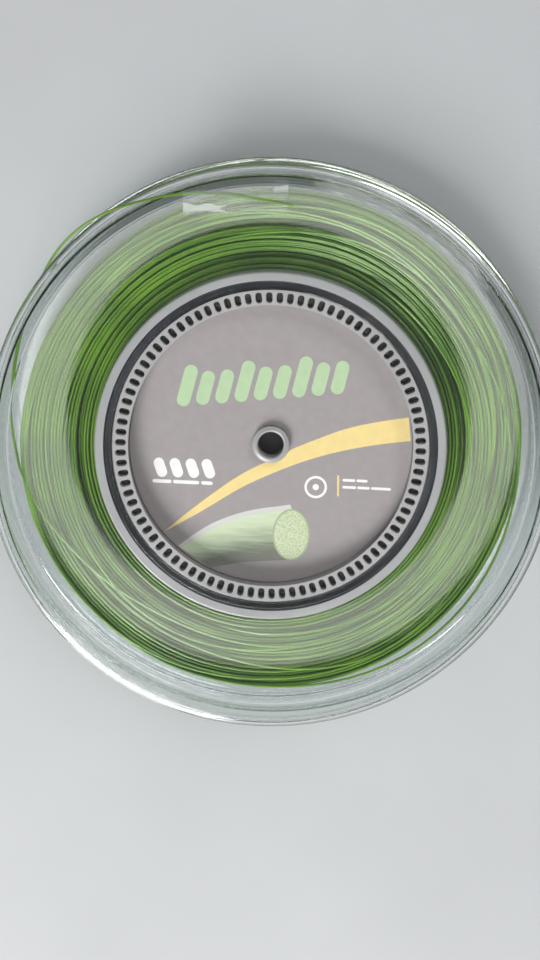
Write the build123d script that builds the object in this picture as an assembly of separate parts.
from build123d import *
import math
import os

# Full-size reel for 200 m of racket string, in millimetres. The reel lies on its back rim:
# +Z is the spindle axis, and the origin is on that axis, level with the lowest face of the rim.

# Overall sizes
rim_radius = 134.0
overall_thickness = 42.0
middle = overall_thickness / 2

# Flanges: a flat plate with a turned-up lip round its edge, which begins at lip_root_radius
channel_width = 20.0
plate_thickness = 2.2
plate_face = middle + channel_width / 2
plate_top = plate_face + plate_thickness
lip_root_radius = 122.5
lip_foot_radius = 124.3
crest_inner_radius = 128.4
crest_outer_radius = 131.6
lip_wall_at_foot = 2.3
lip_wall_at_crest = 2.0
lip_edge_drop = 6.0
lip_edge_wall = 1.8
lip_edge_band = 1.6
lip_foot_fillet = 1.5
lip_crest_fillet = 1.1
small_fillet = 0.5

# Core: a drum of two ring walls, a web across its middle and a spindle boss
core_radius = 82.5
groove_inner_radius = 74.8
groove_outer_radius = 79.0
groove_depth = 8.5
recess_radius = 67.3
web_thickness = 2.0
boss_radius = 8.7
boss_height = 8.0
bore_radius = 6.8
boss_fillet = 0.8

# The ring of oval pockets moulded into each end of the drum
pocket_count = 90
pocket_ring_radius = 70.9
pocket_length = 5.0
pocket_width = 2.9
pocket_depth = 8.5

# Collar under each flange that drops into the drum's groove
collar_clearance = 0.4
collar_inner_radius = groove_inner_radius + collar_clearance
collar_outer_radius = groove_outer_radius - collar_clearance
collar_length = 6.0

# Labels
label_radius = 67.0
label_hole_radius = 8.9
label_thickness = 0.2

# String and its two ends
string_diameter = 1.25
winding_inner_radius = 83.0
winding_outer_radius = 118.0
winding_gap = 0.3
winding_fillet = 2.0
tape_thickness = 0.2
anchor_tape_gap = 0.05
anchor_tape_width = 12.0
anchor_tape_angle = 18.0

# Route of the loose tail: out of the winding, round the outside of the front rim, over its
# crest and down to a cut end on the front plate.
tail_route = [
    (-118.5, -14.0, 28.6),
    (-122.6, 3.5, 29.0),
    (-123.6, 21.5, 29.4),
    (-121.6, 38.5, 29.9),
    (-117.4, 55.0, 31.0),
    (-111.6, 71.2, 32.6),
    (-104.4, 87.6, 35.2),
    (-93.2, 100.8, 40.2),
    (-78.8, 110.2, 44.2),
    (-62.6, 115.8, 44.4),
    (-46.0, 119.4, 42.7),
    (-29.0, 119.8, 38.6),
    (-11.0, 117.6, 35.2),
    (7.2, 114.5, 33.93),
]

# Tape over the tail's end: the under side of its section at each end, as (y, z) points
tape_right_x = 5.0
tape_right_section = [(111.2, 33.3), (113.4, 33.4), (114.8, 35.3), (116.6, 33.8), (123.6, 33.6)]
tape_left_x = -43.5
tape_left_section = [(108.8, 33.3), (113.6, 38.4), (118.2, 43.0), (119.3, 43.2), (120.3, 43.2)]


def ring(inner_radius, outer_radius, low, high):
    """A plain ring about the spindle axis between two heights."""
    half = (inner_radius + outer_radius) / 2
    section = Pos(half, 0, (low + high) / 2) * (
        Plane.XZ * Rectangle(outer_radius - inner_radius, high - low)
    )
    return revolve(section, Axis.Z, 360)


def mirrored(front_piece):
    """The same piece on the back of the reel."""
    return mirror(front_piece, about=Plane.XY.offset(middle))


def lip():
    """Front lip: the flange's turned-up edge, folded over at the crest."""
    edge = overall_thickness - lip_edge_drop
    outline = [
        (lip_root_radius, plate_face),
        (lip_foot_radius + lip_wall_at_foot, plate_face),
        (crest_inner_radius + 1.2, overall_thickness - lip_wall_at_crest),
        (crest_outer_radius - 1.0, overall_thickness - lip_wall_at_crest),
        (rim_radius - lip_edge_wall, edge),
        (rim_radius, edge),
        (rim_radius, edge + lip_edge_band),
        (crest_outer_radius, overall_thickness),
        (crest_inner_radius, overall_thickness),
        (lip_foot_radius, plate_top),
        (lip_root_radius, plate_top),
    ]
    foot = outline[9]
    crest = outline[7:9]
    free_edge = outline[4:6]
    face = make_face(Polyline(*outline, close=True))
    face = rounded(face, [foot], lip_foot_fillet)
    face = rounded(face, crest, lip_crest_fillet)
    face = rounded(face, free_edge, small_fillet)
    return revolve(Plane.XZ * face, Axis.Z, 360)


def rounded(face, places, radius):
    """The face with its corners at these places rounded off."""
    corners = [
        v for v in face.vertices() if any(math.dist((v.X, v.Y), place) < 0.01 for place in places)
    ]
    return fillet(corners, radius)


def outer_edges(piece, radius):
    """The circular edges of this radius."""
    return [e for e in piece.edges().filter_by(GeomType.CIRCLE) if abs(e.radius - radius) < 0.01]


def drum():
    """The ring that the string is wound on, with a groove and oval pockets in each end."""
    body = ring(recess_radius, core_radius, middle - channel_width / 2, plate_face)
    groove = ring(groove_inner_radius, groove_outer_radius, plate_face - groove_depth, plate_face)
    body -= groove
    body -= mirrored(groove)
    ovals = Sketch() + [
        place * SlotOverall(pocket_length, pocket_width)
        for place in PolarLocations(pocket_ring_radius, pocket_count)
    ]
    pockets = extrude(Pos(0, 0, plate_face - pocket_depth) * ovals, pocket_depth)
    body -= pockets
    body -= mirrored(pockets)
    return body


def boss():
    """The short tube in the middle of the web that turns on the spindle."""
    tube = ring(bore_radius, boss_radius, middle - boss_height / 2, middle + boss_height / 2)
    return fillet(outer_edges(tube, boss_radius), boss_fillet)


def label():
    """Front label, stuck on the web round the boss."""
    face = middle + web_thickness / 2
    return ring(label_hole_radius, label_radius, face, face + label_thickness)


def winding():
    """The whole pack of turns between the flanges."""
    low = middle - channel_width / 2 + winding_gap
    pack = ring(winding_inner_radius, winding_outer_radius, low, plate_face - winding_gap)
    return fillet(outer_edges(pack, winding_outer_radius), winding_fillet)


def tail():
    """The loose end: straight runs joined by arcs as large as the runs allow."""
    points = [Vector(*p) for p in tail_route]
    radii = []
    for before, here, after in zip(points, points[1:], points[2:]):
        arriving = here - before
        leaving = after - here
        turn = math.radians(arriving.get_angle(leaving))
        radii.append(0.45 * min(arriving.length, leaving.length) / math.tan(turn / 2))
    path = FilletPolyline(*points, radius=radii)
    section = Plane(path @ 0, z_dir=path % 0) * Circle(string_diameter / 2)
    tube = sweep(section, path=path)
    plain = math.pi * string_diameter**2 / 4 * path.length
    print("tail radii", [round(r, 1) for r in radii], "length", round(path.length, 1))
    print("tail volume", round(tube.volume, 1), "section times length", round(plain, 1))
    return tube


def tail_tape():
    """Clear tape over the tail's end: a thin skin lofted between its two end sections."""

    def end_face(x, under):
        over = [(y, z + tape_thickness) for y, z in reversed(under)]
        return make_face(Polyline(*[(x, y, z) for y, z in under + over], close=True))

    ends = [end_face(tape_left_x, tape_left_section), end_face(tape_right_x, tape_right_section)]
    return loft(ends, ruled=True)


def anchor_tape():
    """Patch of tape that holds the string's first turn to the core, under the winding."""
    inner = core_radius + anchor_tape_gap
    half = inner + tape_thickness / 2
    section = Pos(half, 0, middle) * (Plane.XZ * Rectangle(tape_thickness, anchor_tape_width))
    return revolve(section, Axis.Z, anchor_tape_angle)


front_plate = ring(collar_inner_radius, lip_root_radius, plate_face, plate_top)
front_lip = lip()
front_collar = ring(
    collar_inner_radius, collar_outer_radius, plate_face - collar_length, plate_face
)
front_label = label()
web_low = middle - web_thickness / 2
pieces = {
    "front_plate": front_plate,
    "front_lip": front_lip,
    "front_collar": front_collar,
    "back_plate": mirrored(front_plate),
    "back_lip": mirrored(front_lip),
    "back_collar": mirrored(front_collar),
    "core_drum": drum(),
    "core_web": ring(boss_radius, recess_radius, web_low, web_low + web_thickness),
    "core_boss": boss(),
    "front_label": front_label,
    "back_label": mirrored(front_label),
    "string_winding": winding(),
    "string_tail": tail(),
    "tail_tape": tail_tape(),
    "anchor_tape": anchor_tape(),
}

os.makedirs("parts", exist_ok=True)
for name, piece in pieces.items():
    piece.label = name
    export_step(piece, f"parts/{name}.step")
